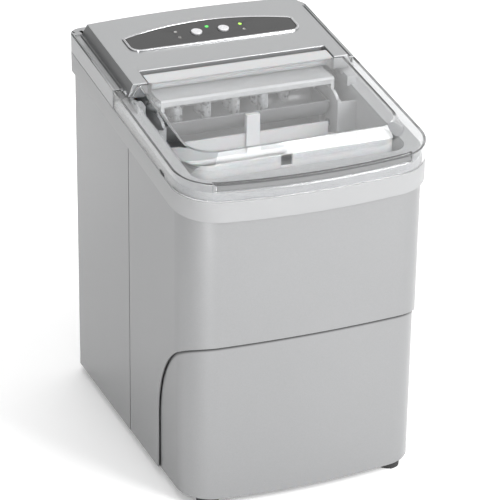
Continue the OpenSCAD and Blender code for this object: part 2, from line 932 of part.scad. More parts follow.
module water_pump() {
    color("darkslategray") translate([pump_at[0], pump_at[1], 0]) {
        translate([0, 0, pump_z - 26]) cylinder(h = 26, r = pump_r - 3, $fn = 64);
        translate([0, 0, pump_z]) cylinder(h = pump_h - 24, r = pump_r, $fn = 64);
        translate([0, 0, pump_z + 10]) cylinder(h = tank_floor - pump_z - 10, r = 5, $fn = 32);
        translate([0, pump_r - 4, pump_z + 8]) rotate([-90, 0, 0]) cylinder(h = 12, r = 4, $fn = 32);
        for (s = [-1, 1]) translate([s * 20 - 4, -4, base_top]) cube([8, 8, 3]);
        translate([-24, -3, base_top]) cube([48, 6, 2]);
        translate([0, 0, base_top]) cylinder(h = pump_z - 26 - base_top, r = 5, $fn = 32);
    }
}

module pump_hose() {
    x0 = pump_at[0];
    y0 = pump_at[1] + pump_r + 8;
    z0 = pump_z + 8;
    up_x = 14;
    color("ghostwhite") pipe([[x0, y0, z0], [x0, 0, z0], [up_x, sump_rear + foam + 8, z0], [up_x, hose_y, z0],
        [up_x, hose_y, tube_z], [hose_x, hose_y, tube_z], [hose_x, row_rear + 3, tube_z]], hose_r);
}

module drain_spout() {
    color("dimgray") difference() {
        union() {
            along_x(half_w - wall - 12, half_w + 0.4, drain_y, drain_z, drain_r);
            along_x(half_w - wall - 3, half_w - wall, drain_y, drain_z, drain_r + 4);
            translate([84, drain_y, drain_z]) cylinder(h = tank_floor - drain_z, r = 5, $fn = 48);
            along_x(84, half_w - wall - 8, drain_y, drain_z, 5);
            translate([84, drain_y, drain_z]) sphere(5, $fn = 48);
        }
        along_x(half_w - wall - 11, half_w + 10, drain_y, drain_z, plug_r + fit);
        along_x(84, half_w, drain_y, drain_z, 3.5);
        translate([84, drain_y, drain_z]) cylinder(h = tank_floor, r = 3.5, $fn = 48);
    }
}

module drain_cap() {
    x0 = half_w + 0.4 + gap;
    color("black") {
        difference() {
            along_x(x0, half_w + frame_out - 0.2, drain_y, drain_z, drain_r + 3);
            box(x0 + 1, x0 + 20, drain_y - 6, drain_y + 6, drain_z - 0.8, drain_z + 0.8);
        }
        along_x(x0 - 9, x0 + 0.2, drain_y, drain_z, plug_r);
    }
}

// ---- cooling ----

module can_profile() {
    r = 15;
    square([can_r - r, can_h]);
    translate([0, 0]) square([can_r, can_h - r]);
    translate([can_r - r, can_h - r]) circle(r, $fn = 64);
    translate([0, can_h * 0.5]) square([can_r + 2, 3]);
}

module compressor() {
    color("black") translate([can_at[0], can_at[1], can_z]) {
        rotate_extrude($fn = 128) can_profile();
        difference() {
            translate([0, 0, -2.5]) linear_extrude(2.5 + eps) for (a = [90, 210, 330]) rotate(a) {
                translate([0, -8]) square([can_r - 4, 16]);
                translate([can_r - 4, 0]) circle(8, $fn = 32);
            }
            for (a = [90, 210, 330]) rotate(a) translate([can_r - 4, 0, -3]) cylinder(h = 4, r = 3, $fn = 24);
        }
        translate([can_r - 4, -14, 50]) cube([12, 28, 34]);
    }
}

module compressor_mounts() {
    color("dimgray") translate([can_at[0], can_at[1], base_top]) for (a = [90, 210, 330]) rotate(a)
        translate([can_r - 4, 0, 0]) {
            cylinder(h = mount_h / 2, r = 8, $fn = 32);
            cylinder(h = mount_h, r = 6.5, $fn = 32);
            cylinder(h = mount_h + 2.5, r = 3, $fn = 24);
        }
}

module condenser() {
    fins = 24;
    color("silver") {
        for (i = [0:fins - 1])
            box(coil_x - coil_t, coil_x, coil_y + 4 + i * 3.4, coil_y + 4.5 + i * 3.4, coil_z, coil_z + coil_h);
        for (i = [0:4]) translate([coil_x - coil_t / 2, coil_y, coil_z + 12 + i * 20])
            rotate([-90, 0, 0]) cylinder(h = coil_d, r = 3.5, $fn = 32);
        for (y = [0, coil_d - 1.5])
            box(coil_x - coil_t, coil_x, coil_y + y, coil_y + y + 1.5, base_top, coil_z + coil_h);
    }
}

module fan_shroud() {
    color("dimgray") {
        difference() {
            box(shroud_x - shroud_t, shroud_x, coil_y, coil_y + coil_d, base_top, coil_z + coil_h);
            along_x(shroud_x - shroud_t - 1, shroud_x + 1, fan_y, fan_z, fan_r + 3);
            along_x(shroud_x - shroud_t - 1, shroud_x + 1, drier_at[1], return_z, pipe_r + 1);
        }
        for (a = [90, 210, 330]) translate([0, fan_y, fan_z]) rotate([a, 0, 0])
            box(fan_face - 12, fan_face - 9.5, -3, 3, 16, fan_r + 5);
        for (a = [90, 210, 330]) translate([0, fan_y, fan_z]) rotate([a, 0, 0])
            box(fan_face - 12, fan_face + eps, -3, 3, fan_r + 4, fan_r + 6.4);
        difference() {
            along_x(fan_face - 12, fan_face - 9.5, fan_y, fan_z, 20);
            along_x(fan_face - 13, fan_face - 8, fan_y, fan_z, 10);
        }
    }
}

module fan_motor() {
    color("gray") {
        along_x(fan_face - 36, fan_face - 12, fan_y, fan_z, 19);
        along_x(fan_face - 12, fan_face - 8, fan_y, fan_z, 9.5);
        along_x(fan_face - 12, fan_face + 6, fan_y, fan_z, shaft_r);
    }
}

module fan_blade() {
    color("black") translate([0, fan_y, fan_z]) difference() {
        union() {
            along_x(fan_face - 6, fan_face + 8, 0, 0, 12);
            for (a = [0:72:288]) rotate([a, 0, 0]) intersection() {
                translate([fan_face + 1, 0, 24]) rotate([0, 0, 35]) cube([1.6, 22, 32], center = true);
                along_x(fan_face - 8, fan_face + 10, 0, 0, fan_r);
            }
        }
        along_x(fan_face - 8, fan_face + 6.5, 0, 0, shaft_r + fit);
    }
}

module filter_drier() {
    r = 9;
    color("peru") translate([drier_at[0], drier_at[1], 50]) rotate_extrude($fn = 64)
        polygon([[0, 0], [pipe_r, 0], [r, 10], [r, 70], [pipe_r, 80], [0, 80]]);
}

module gas_valve() {
    color("steelblue") translate([valve_at[0], valve_at[1], 192]) {
        cylinder(h = 28, r = 7, $fn = 48);
        translate([-11, -9, 6]) cube([26, 18, 16]);
    }
}

module refrigerant_pipes() {
    exit_y = tank_rear + 8;
    down_y = hose_y + 3;
    coil_mid = coil_x - coil_t / 2;
    can_top = can_z + can_h;
    color("peru") {
        pipe([[-30, discharge_y, can_top], [-30, discharge_y, 190], [coil_mid, discharge_y, 190],
            [coil_mid, discharge_y, coil_z + coil_h]], pipe_r);
        pipe([[tube_front_x, exit_y, tube_z], [tube_front_x, down_y, tube_z], [tube_front_x, down_y, 215],
            [-66, can_at[1] - 6, 215], [-66, can_at[1] - 6, can_top]], pipe_r);
        pipe([[tube_rear_x, exit_y, tube_z], [tube_rear_x, down_y, tube_z], [tube_rear_x, down_y, 240],
            [valve_at[0], valve_at[1], 240], [valve_at[0], valve_at[1], 220]], pipe_r);
        pipe([[valve_at[0], valve_at[1], 192], [valve_at[0], valve_at[1], 160], [drier_at[0], drier_at[1], 160],
            [drier_at[0], drier_at[1], 130]], pipe_r);
        pipe([[drier_at[0], drier_at[1], 50], [drier_at[0], drier_at[1], return_z],
            [coil_mid, drier_at[1], return_z], [coil_mid, drier_at[1], coil_z]], pipe_r);
    }
}

module power_board() {
    y1 = rear_y - wall;
    color("darkgreen") {
        box(-94, -10, y1 - 9.6, y1 - 8, 204, 262);
        for (x = [-88, -16], z = [210, 256])
            translate([x, y1, z]) rotate([90, 0, 0]) cylinder(h = 8.2, r = 3, $fn = 24);
        box(-86, -60, y1 - 30, y1 - 9, 212, 242);
        box(-52, -36, y1 - 24, y1 - 9, 216, 228);
        box(-52, -36, y1 - 24, y1 - 9, 234, 246);
        for (x = [-26, -18]) translate([x, y1 - 9, 238]) rotate([90, 0, 0]) cylinder(h = 16, r = 3.5, $fn = 32);
        box(-30, -14, y1 - 18, y1 - 9, 208, 214);
    }
}

module cord_gland() {
    color("black") translate([-70, rear_y, 38]) rotate([-90, 0, 0]) difference() {
        union() {
            translate([0, 0, -wall]) cylinder(h = wall + 0.2, r = 7, $fn = 48);
            cylinder(h = 2.6, r = 9.5, $fn = 48);
            translate([0, 0, -wall - 2.5]) cylinder(h = 2.5, r = 9.5, $fn = 48);
        }
        translate([0, 0, -10]) cylinder(h = 20, r = 3.6, $fn = 48);
    }
}

base_tray();
feet();
front_panel();
lower_front_panel();
rear_shell();
top_frame();
top_cover();
control_bezel();
control_window();
control_board();
status_leds();
power_button();
select_button();
lid();
hinge_pins();
lid_bumpers();
evaporator();
evaporator_cover();
left_bracket();
right_bracket();
water_tray();
tray_motor();
ice_shovel();
ice_basket();
water_tank();
tank_insulation();
level_float();
float_stem();
ice_sensors();
water_pump();
pump_hose();
drain_spout();
drain_cap();
compressor();
compressor_mounts();
condenser();
fan_shroud();
fan_motor();
fan_blade();
filter_drier();
gas_valve();
refrigerant_pipes();
power_board();
cord_gland();
cover_screws();
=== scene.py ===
"""Countertop ice maker: finished shells, clear lid, controls and ice-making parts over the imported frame.

Every length is in metres, in the frame's own axes: the front faces -Y, +Z is up, the origin is on the floor.
"""

import json
import math

import bmesh
import bpy
from bpy.props import FloatProperty, FloatVectorProperty, PointerProperty
from bpy.types import Operator, Panel, PropertyGroup
from mathutils import Matrix, Vector


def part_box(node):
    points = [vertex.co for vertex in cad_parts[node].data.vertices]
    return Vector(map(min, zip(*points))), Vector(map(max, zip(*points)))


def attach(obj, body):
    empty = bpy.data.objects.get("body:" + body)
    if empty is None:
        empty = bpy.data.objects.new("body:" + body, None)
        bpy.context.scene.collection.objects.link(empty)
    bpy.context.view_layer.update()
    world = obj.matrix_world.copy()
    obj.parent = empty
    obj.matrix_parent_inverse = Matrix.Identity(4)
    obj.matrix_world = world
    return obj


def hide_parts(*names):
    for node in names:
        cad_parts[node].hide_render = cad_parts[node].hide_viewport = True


bl_info = {
    "name": "Countertop ice maker",
    "version": (1, 0, 0),
    "blender": (4, 5, 0),
    "location": "View3D > Sidebar > Ice maker",
    "description": "Finished shells, lid, controls and ice-making parts over the packed frame",
    "category": "Object",
}

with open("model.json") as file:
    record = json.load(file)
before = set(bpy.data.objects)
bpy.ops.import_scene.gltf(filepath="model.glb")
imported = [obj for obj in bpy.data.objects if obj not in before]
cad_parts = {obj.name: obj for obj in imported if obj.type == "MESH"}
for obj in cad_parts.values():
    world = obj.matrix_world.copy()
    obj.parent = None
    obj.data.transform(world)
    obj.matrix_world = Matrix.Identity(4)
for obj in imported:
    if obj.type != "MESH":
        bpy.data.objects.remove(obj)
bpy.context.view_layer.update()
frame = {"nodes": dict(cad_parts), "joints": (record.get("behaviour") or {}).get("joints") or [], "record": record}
MM = 0.001

BODY_OF = {node: body for body, nodes in frame["record"]["behaviour"]["bodies"].items() for node in nodes}
SLOT_OF = {part["node"]: part["material_slot"] for part in frame["record"]["subparts"]}


def joint(name):
    """The record's joint of that name."""
    return next(j for j in frame["joints"] if j["name"] == name)


# The whole top lies on one plane that falls towards the front. The buttons press square to it.
PRESS = Vector(joint("power_press")["axis"])
SLOPE = math.atan2(PRESS.y, -PRESS.z)
FRAME_LOW, FRAME_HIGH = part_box("top_frame")
# Height of the top frame and the lid's skirt together, up to the rim plane
FRAME_HEIGHT = 34 * MM


def over_rim(point):
    """Height of a point above the sloping rim plane."""
    rim = FRAME_LOW.z + FRAME_HEIGHT + (point.y - FRAME_LOW.y) * math.tan(SLOPE)
    return point.z - rim


# The front panels stand this far behind the top frame's front
PANEL_SETBACK = 3 * MM
# The front panel's lower edge runs level across the front and drops along an arc on each side
SEAM_HEIGHT = 155 * MM
SEAM_RADIUS = 94 * MM
SEAM_CENTRE_AHEAD = 18 * MM
# The arc's centre in Y and Z
SEAM_CENTRE = (FRAME_LOW.y + PANEL_SETBACK - SEAM_CENTRE_AHEAD, SEAM_HEIGHT - SEAM_RADIUS)
# The shade below that edge: where it starts, where it is deepest, and the share of the colour left there
SHADE_START = 3.2 * MM
SHADE_DEEPEST = 0.9 * MM
SHADE_LEFT = 0.16

# Edges this close to one height count as level
LEVEL_SLACK = 0.2 * MM
# Edges this far outside the shells belong to the top frame's outer side
PAST_SHELL = 1.5 * MM

# Places on the lid, as heights over the rim plane and distances from the lid's sides and middle
FLANGE_TOP = -0.12 * MM
FLANGE_FOOT = -2.0 * MM
RECESS_FOOT = -7.3 * MM
RECESS_FROM_SIDE = 26 * MM
BARREL_FROM_PIN_END = 15 * MM
LID_MIDDLE_Y = -50 * MM

# Rounding of the smallest pieces
PIN_EDGE = 0.4 * MM
PAD_EDGE = 0.3 * MM
INDICATOR_EDGE = 0.3 * MM
SCREW_EDGE = 0.15 * MM
# Width of each bright edge of the ring round the control lens
RING_EDGE = 0.3 * MM
# The middle indicator lies within this distance of the middle
MIDDLE_INDICATOR = 6 * MM

# ---- what a user may change ----


def length(name, description, default):
    """A length property in metres."""
    return FloatProperty(
        name=name, description=description, default=default, min=0.0, unit="LENGTH", precision=5
    )


def colour(name, description, default):
    """A colour property, in linear light."""
    return FloatVectorProperty(
        name=name, description=description, default=default, size=3, min=0.0, max=1.0, subtype="COLOR"
    )


def turned_by(name, description, degrees):
    """An angle property, given in degrees."""
    return FloatProperty(
        name=name, description=description, default=math.radians(degrees), subtype="ANGLE"
    )


def strength(name, description, default):
    """A light's power or strength."""
    return FloatProperty(name=name, description=description, default=default)


class IceMakerEdges(PropertyGroup):
    """How far the edges of the pieces are rounded."""

    shell: length("Shells", "Rounding of the painted shells' edges", 0.5 * MM)
    frame_foot: length("Frame foot", "Rounding of the top frame's lower outer edge", 2.6 * MM)
    frame: length("Frame", "Rounding of the top frame's other edges", 0.4 * MM)
    cover: length("Rear cover", "Rounding of the rear cover's edges", 0.8 * MM)
    lid: length("Lid", "Rounding of the clear lid's edges", 0.5 * MM)
    lens: length("Lens", "Rounding of the control lens and its ring", 0.35 * MM)
    button: length("Buttons", "Rounding of the push buttons' caps", 0.66 * MM)
    inner: length("Inner parts", "Rounding of the moulded parts inside", 0.4 * MM)
    foot: length("Feet", "Rounding of the rubber feet", 1.0 * MM)


class IceMakerColours(PropertyGroup):
    """Colours of the finishes."""

    shell: colour("Silver paint", "Satin silver paint of the shells", (0.25, 0.252, 0.255))
    cover: colour("Silver cover", "Satin silver plastic of the rear cover", (0.34, 0.344, 0.348))
    frame: colour("Frame grey", "Light grey plastic of the top frame", (0.27, 0.272, 0.275))
    lid: colour("Lid tint", "Tint of the clear lid", (0.84, 0.845, 0.85))
    lens: colour("Lens black", "Black lens over the control board", (0.012, 0.012, 0.012))
    inner: colour("Inner grey", "Light grey plastic inside", (0.36, 0.363, 0.366))
    basket: colour("Basket white", "Milky white plastic of the basket", (0.52, 0.524, 0.528))
    lit: colour("Lit green", "Green of a lit indicator", (0.10, 0.75, 0.12))
    lime: colour("Lit lime", "Yellow-green of the other lit indicator", (0.38, 0.80, 0.08))


class IceMakerStudio(PropertyGroup):
    """Camera and light."""

    lens: FloatProperty(name="Lens", description="Focal length in millimetres", default=182.14, min=10.0)
    turn: turned_by("Turn", "Angle round the object from the front", -22.98)
    lift: turned_by("Lift", "Angle above the horizon", 25.52)
    roll: turned_by("Roll", "Tilt of the picture", 0.832)
    stand: FloatVectorProperty(
        name="Camera place",
        description="Where the camera stands",
        default=(-0.7697, -1.8221, 1.10975),
        unit="LENGTH",
    )
    floor: colour("Floor", "Pale floor", (0.96, 0.96, 0.96))
    floor_glow: strength("Floor glow", "Light that the floor adds of itself", 0.14)
    key: strength("Key light", "Power of the large light at the front right", 84.0)
    strip: strength("Strip light", "Power of the tall light at the front left", 10.0)
    top: strength("Top light", "Power of the light overhead", 14.0)
    back: strength("Back light", "Power of the light behind, which the top reflects", 3.0)
    ambient: strength("Ambient", "Strength of the even light all round", 0.78)
    unlit: strength("Unlit side", "Share of the even light at the back left", 0.05)


# ---- bench: how a piece is worked on ----


def only(piece):
    """Selects one piece and nothing else."""
    bpy.ops.object.select_all(action="DESELECT")
    piece.select_set(True)
    bpy.context.view_layer.objects.active = piece


def open_mesh(piece, what="EDGE"):
    """Goes into edit mode on a piece with nothing selected."""
    only(piece)
    bpy.ops.object.mode_set(mode="EDIT")
    bpy.ops.mesh.select_mode(type=what)
    bpy.ops.mesh.select_all(action="DESELECT")


def close_mesh():
    bpy.ops.object.mode_set(mode="OBJECT")


def pick_edges(piece, wanted):
    """Selects the edges that pass a test. The mesh is open. Returns how many passed."""
    mesh = bmesh.from_edit_mesh(piece.data)
    count = 0
    for edge in mesh.edges:
        edge.select = bool(wanted(edge))
        count += edge.select
    bmesh.update_edit_mesh(piece.data)
    return count


def pick_faces(piece, wanted):
    """Selects the faces that pass a test. The mesh is open. Returns how many passed."""
    mesh = bmesh.from_edit_mesh(piece.data)
    count = 0
    for face in mesh.faces:
        face.select_set(bool(wanted(face)))
        count += face.select
    bmesh.update_edit_mesh(piece.data)
    return count


def apply_modifier(piece, kind, **settings):
    """Adds a modifier, sets it up and applies it."""
    modifier = piece.modifiers.new(kind.title(), kind)
    for name, value in settings.items():
        setattr(modifier, name, value)
    only(piece)
    bpy.ops.object.modifier_apply(modifier=modifier.name)


def merged_copy(node, name):
    """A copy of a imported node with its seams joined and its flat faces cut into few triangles."""
    source = frame["nodes"][node]
    piece = source.copy()
    piece.data = source.data.copy()
    piece.name = name
    piece.data.name = name
    piece.parent = None
    for key in list(piece.keys()):
        del piece[key]
    bpy.context.scene.collection.objects.link(piece)
    only(piece)
    bpy.ops.mesh.customdata_custom_splitnormals_clear()
    open_mesh(piece)
    bpy.ops.mesh.select_all(action="SELECT")
    bpy.ops.mesh.remove_doubles(threshold=1e-5)
    bpy.ops.mesh.dissolve_limited(angle_limit=math.radians(0.4))
    bpy.ops.mesh.quads_convert_to_tris(quad_method="BEAUTY", ngon_method="BEAUTY")
    close_mesh()
    return piece


def bevel_picked(piece, wanted, width, segments=4):
    """Rounds the edges that pass a test."""
    open_mesh(piece)
    if not pick_edges(piece, wanted):
        close_mesh()
        raise RuntimeError(f"{piece.name}: no edge to round")
    bpy.ops.mesh.bevel(
        offset=width, offset_type="OFFSET", segments=segments, profile=0.5, clamp_overlap=True
    )
    close_mesh()


def at_frame_foot(edge):
    """Whether both ends of an edge lie at the height of the top frame's foot."""
    return all(abs(over_rim(vert.co) + FRAME_HEIGHT) < LEVEL_SLACK for vert in edge.verts)


def merged_outer_edges(piece, seed):
    """Indices of the top frame's foot edges that join up with the ones passing a test."""
    mesh = bmesh.new()
    mesh.from_mesh(piece.data)
    mesh.edges.ensure_lookup_table()
    level = {edge for edge in mesh.edges if at_frame_foot(edge)}
    found = {edge for edge in level if seed(edge)}
    front = list(found)
    while front:
        edge = front.pop()
        for vert in edge.verts:
            for other in vert.link_edges:
                if other in level and other not in found:
                    found.add(other)
                    front.append(other)
    indices = {edge.index for edge in found}
    mesh.free()
    return indices


def smooth(piece, angle=32.0):
    """Smooth shading across all edges flatter than an angle."""
    only(piece)
    bpy.ops.object.shade_smooth_by_angle(angle=math.radians(angle))


def round_edges(piece, width, segments=3, angle=38.0):
    """Rounds every edge sharper than an angle and keeps the flat faces beside it flat."""
    smooth(piece)
    apply_modifier(
        piece,
        "BEVEL",
        width=width,
        segments=segments,
        limit_method="ANGLE",
        angle_limit=math.radians(angle),
        use_clamp_overlap=False,
        miter_outer="MITER_ARC",
        harden_normals=True,
    )


def stand_for(piece, *nodes):
    """The piece rides with its nodes' body and is shown in their place."""
    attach(piece, BODY_OF[nodes[0]])
    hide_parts(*nodes)


def dress(piece, *materials):
    """Gives a piece its materials."""
    piece.data.materials.clear()
    for material in materials:
        piece.data.materials.append(material)


def rounded(node, name, width, material, segments=3):
    """The usual finish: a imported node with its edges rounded, shown in the node's place."""
    piece = merged_copy(node, name)
    if width > 0:
        round_edges(piece, width, segments)
    else:
        smooth(piece)
    dress(piece, material)
    stand_for(piece, node)
    return piece


# ---- effects that several finishes share ----


def socket(group, name, kind, side, default=None):
    """Adds a named input or output to a shader group."""
    made = group.interface.new_socket(name=name, in_out=side, socket_type=kind)
    if default is not None:
        made.default_value = default
    return made


def new_effect(name):
    """An empty shader group with the inputs and outputs that every effect has."""
    group = bpy.data.node_groups.new(name, "ShaderNodeTree")
    socket(group, "Position", "NodeSocketVector", "INPUT")
    socket(group, "Colour", "NodeSocketColor", "INPUT", (0.5, 0.5, 0.5, 1.0))
    socket(group, "Variation", "NodeSocketFloat", "INPUT", 0.05)
    socket(group, "Roughness", "NodeSocketFloat", "INPUT", 0.4)
    socket(group, "Grain", "NodeSocketFloat", "INPUT", 1000.0)
    socket(group, "Colour", "NodeSocketColor", "OUTPUT")
    socket(group, "Roughness", "NodeSocketFloat", "OUTPUT")
    socket(group, "Height", "NodeSocketFloat", "OUTPUT")
    return group, group.nodes.new("NodeGroupInput"), group.nodes.new("NodeGroupOutput")


def node(tree, kind, links=None, values=None, **settings):
    """Adds a node, sets its properties and values, and links its inputs."""
    made = tree.nodes.new(kind)
    for name, value in settings.items():
        setattr(made, name, value)
    for name, value in (values or {}).items():
        made.inputs[name].default_value = value
    for name, source in (links or {}).items():
        tree.links.new(source, made.inputs[name])
    return made


def first(tree, kind):
    """The first node of a kind in a tree."""
    return next(found for found in tree.nodes if found.type == kind)


def noise(tree, position, scale, detail=2.0, rough=0.5):
    """Noise of a scale that is a number or a socket."""
    made = node(tree, "ShaderNodeTexNoise", {"Vector": position}, {"Detail": detail, "Roughness": rough})
    if isinstance(scale, (int, float)):
        made.inputs["Scale"].default_value = scale
    else:
        tree.links.new(scale, made.inputs["Scale"])
    return made.outputs["Fac"]


def spread(tree, value, low, high):
    """Maps 0 to 1 onto low to high, where either may be a socket."""
    made = node(tree, "ShaderNodeMapRange", {"Value": value}, {"From Min": 0.25, "From Max": 0.75})
    for name, limit in (("To Min", low), ("To Max", high)):
        if isinstance(limit, (int, float)):
            made.inputs[name].default_value = limit
        else:
            tree.links.new(limit, made.inputs[name])
    return made.outputs["Result"]


def maths(tree, operation, a, b=0.0):
    """One arithmetic step on two numbers or sockets."""
    made = node(tree, "ShaderNodeMath", operation=operation)
    for index, value in enumerate((a, b)):
        if isinstance(value, (int, float)):
            made.inputs[index].default_value = value
        else:
            tree.links.new(value, made.inputs[index])
    return made.outputs["Value"]


def toned(tree, colour_in, tone):
    """The colour made lighter or darker by a factor that changes over the surface."""
    made = node(tree, "ShaderNodeHueSaturation", {"Color": colour_in, "Value": tone})
    return made.outputs["Color"]


def moulded_grain():
    """Injection-moulded plastic: fine spark-eroded grain, faint flow marks and uneven gloss."""
    group, given, out = new_effect("Moulded grain")
    fine = noise(group, given.outputs["Position"], given.outputs["Grain"], 3.0)
    flow = noise(group, given.outputs["Position"], 22.0, 2.0)
    tone = spread(group, flow, maths(group, "SUBTRACT", 1.0, given.outputs["Variation"]), 1.0)
    gloss = maths(group, "MULTIPLY", given.outputs["Roughness"], spread(group, fine, 0.88, 1.12))
    group.links.new(toned(group, given.outputs["Colour"], tone), out.inputs["Colour"])
    group.links.new(gloss, out.inputs["Roughness"])
    group.links.new(fine, out.inputs["Height"])
    return group


def metal_paint():
    """Silver paint: tiny bright and dark flakes under a lacquer with a trace of orange peel."""
    group, given, out = new_effect("Metal paint")
    flake = node(
        group,
        "ShaderNodeTexVoronoi",
        {"Vector": given.outputs["Position"], "Scale": given.outputs["Grain"]},
        feature="F1",
    )
    shine = node(group, "ShaderNodeSeparateColor", {"Color": flake.outputs["Color"]}).outputs["Red"]
    cloud = noise(group, given.outputs["Position"], 9.0, 2.0)
    peel = noise(group, given.outputs["Position"], 420.0, 1.0)
    low = maths(group, "SUBTRACT", 1.0, given.outputs["Variation"])
    high = maths(group, "ADD", 1.0, given.outputs["Variation"])
    tone = maths(group, "MULTIPLY", spread(group, shine, low, high), spread(group, cloud, 0.985, 1.01))
    gloss = maths(group, "MULTIPLY", given.outputs["Roughness"], spread(group, shine, 0.9, 1.12))
    group.links.new(toned(group, given.outputs["Colour"], tone), out.inputs["Colour"])
    group.links.new(gloss, out.inputs["Roughness"])
    group.links.new(peel, out.inputs["Height"])
    return group


def drawn_metal():
    """Metal with fine parallel lines along X, as after rolling or brushing."""
    group, given, out = new_effect("Drawn metal")
    stretch = node(group, "ShaderNodeVectorMath", {0: given.outputs["Position"]}, operation="MULTIPLY")
    stretch.inputs[1].default_value = (0.03, 1.0, 1.0)
    lines = noise(group, stretch.outputs["Vector"], given.outputs["Grain"], 4.0, 0.6)
    low = maths(group, "SUBTRACT", 1.0, given.outputs["Variation"])
    tone = spread(group, lines, low, 1.0)
    gloss = maths(group, "MULTIPLY", given.outputs["Roughness"], spread(group, lines, 0.75, 1.25))
    group.links.new(toned(group, given.outputs["Colour"], tone), out.inputs["Colour"])
    group.links.new(gloss, out.inputs["Roughness"])
    group.links.new(lines, out.inputs["Height"])
    return group


def handled_gloss():
    """Polished surface with faint smears and dust, which show only in its gloss."""
    group, given, out = new_effect("Handled gloss")
    smear = noise(group, given.outputs["Position"], 60.0, 4.0, 0.65)
    dust = noise(group, given.outputs["Position"], given.outputs["Grain"], 1.0)
    speck = spread(group, maths(group, "POWER", dust, 6.0), 0.0, given.outputs["Variation"])
    smeared = maths(group, "MULTIPLY", given.outputs["Roughness"], spread(group, smear, 0.7, 1.6))
    gloss = maths(group, "ADD", smeared, speck)
    tone = spread(group, smear, 1.0, maths(group, "ADD", 1.0, given.outputs["Variation"]))
    group.links.new(toned(group, given.outputs["Colour"], tone), out.inputs["Colour"])
    group.links.new(gloss, out.inputs["Roughness"])
    group.links.new(smear, out.inputs["Height"])
    return group


def frosted_metal():
    """Cold metal with patches of frost."""
    group, given, out = new_effect("Frosted metal")
    patch = noise(group, given.outputs["Position"], 130.0, 5.0, 0.65)
    crystal = noise(group, given.outputs["Position"], given.outputs["Grain"], 3.0)
    edges = {"From Min": 0.42, "From Max": 0.62}
    rime = node(group, "ShaderNodeMapRange", {"Value": patch}, edges).outputs["Result"]
    mix = node(group, "ShaderNodeMix", data_type="RGBA")
    group.links.new(maths(group, "MULTIPLY", rime, given.outputs["Variation"]), mix.inputs["Factor"])
    group.links.new(given.outputs["Colour"], mix.inputs[6])
    mix.inputs[7].default_value = (0.86, 0.88, 0.9, 1.0)
    gloss = maths(group, "ADD", given.outputs["Roughness"], maths(group, "MULTIPLY", rime, 0.3))
    group.links.new(mix.outputs[2], out.inputs["Colour"])
    group.links.new(gloss, out.inputs["Roughness"])
    group.links.new(maths(group, "MULTIPLY", crystal, rime), out.inputs["Height"])
    return group


EFFECTS = {}


def effect(build):
    """The shader group that a function builds, made once."""
    if build.__name__ not in EFFECTS:
        EFFECTS[build.__name__] = build()
    return EFFECTS[build.__name__]


def finish(name, build, rgb, roughness, grain=1000.0, variation=0.05, bump=0.05, depth=0.05 * MM, **shader):
    """A material: one effect over a Principled shader. Constants in shader go straight on its sockets."""
    if name in bpy.data.materials:
        return bpy.data.materials[name]
    material = bpy.data.materials.new(name)
    material.use_nodes = True
    tree = material.node_tree
    tree.nodes.clear()
    place = node(tree, "ShaderNodeTexCoord")
    look = node(tree, "ShaderNodeGroup", node_tree=effect(build))
    tree.links.new(place.outputs["Object"], look.inputs["Position"])
    look.inputs["Colour"].default_value = (*rgb, 1.0)
    look.inputs["Variation"].default_value = variation
    look.inputs["Roughness"].default_value = roughness
    look.inputs["Grain"].default_value = grain
    relief = node(
        tree, "ShaderNodeBump", {"Height": look.outputs["Height"]}, {"Strength": bump, "Distance": depth}
    )
    principled = node(
        tree,
        "ShaderNodeBsdfPrincipled",
        {
            "Base Color": look.outputs["Colour"],
            "Roughness": look.outputs["Roughness"],
            "Normal": relief.outputs["Normal"],
        },
        {key.replace("_", " "): value for key, value in shader.items()},
    )
    output = node(tree, "ShaderNodeOutputMaterial", {"Surface": principled.outputs["BSDF"]})
    output.name = "Surface"
    material.diffuse_color = (*rgb, 1.0)
    return material


def let_lamps_through(material, tint):
    """Clear plastic: lamps reach what is behind it, dimmed by its tint."""
    tree = material.node_tree
    surface = first(tree, "BSDF_PRINCIPLED").outputs["BSDF"]
    output = first(tree, "OUTPUT_MATERIAL")
    ray = node(tree, "ShaderNodeLightPath")
    clear = node(tree, "ShaderNodeBsdfTransparent", values={"Color": (*tint, 1.0)})
    mix = node(tree, "ShaderNodeMixShader", {0: ray.outputs["Is Shadow Ray"], 1: surface})
    tree.links.new(clear.outputs["BSDF"], mix.inputs[2])
    tree.links.new(mix.outputs["Shader"], output.inputs["Surface"])
    return material


def glow(material, rgb, strength):
    """Lights a material up from inside."""
    principled = first(material.node_tree, "BSDF_PRINCIPLED")
    principled.inputs["Emission Color"].default_value = (*rgb, 1.0)
    principled.inputs["Emission Strength"].default_value = strength
    return material


# ---- finishes ----


def shell_paint(name):
    """The satin silver paint of the shells, under a name of its own."""
    rgb = bpy.context.scene.ice_colours.shell
    return finish(
        name, metal_paint, rgb, 0.34, 2600.0, 0.03, 0.03, 0.02 * MM,
        Metallic=0.72, Coat_Weight=0.2, Coat_Roughness=0.2,
    )


def silver_paint():
    return shell_paint("Satin silver paint")


def silver_plastic():
    rgb = bpy.context.scene.ice_colours.cover
    return finish("Satin silver cover", metal_paint, rgb, 0.32, 3200.0, 0.03, 0.03, 0.02 * MM, Metallic=0.8)


def frame_plastic():
    rgb = bpy.context.scene.ice_colours.frame
    return finish("Frame grey plastic", moulded_grain, rgb, 0.38, 1500.0, 0.03, 0.06)


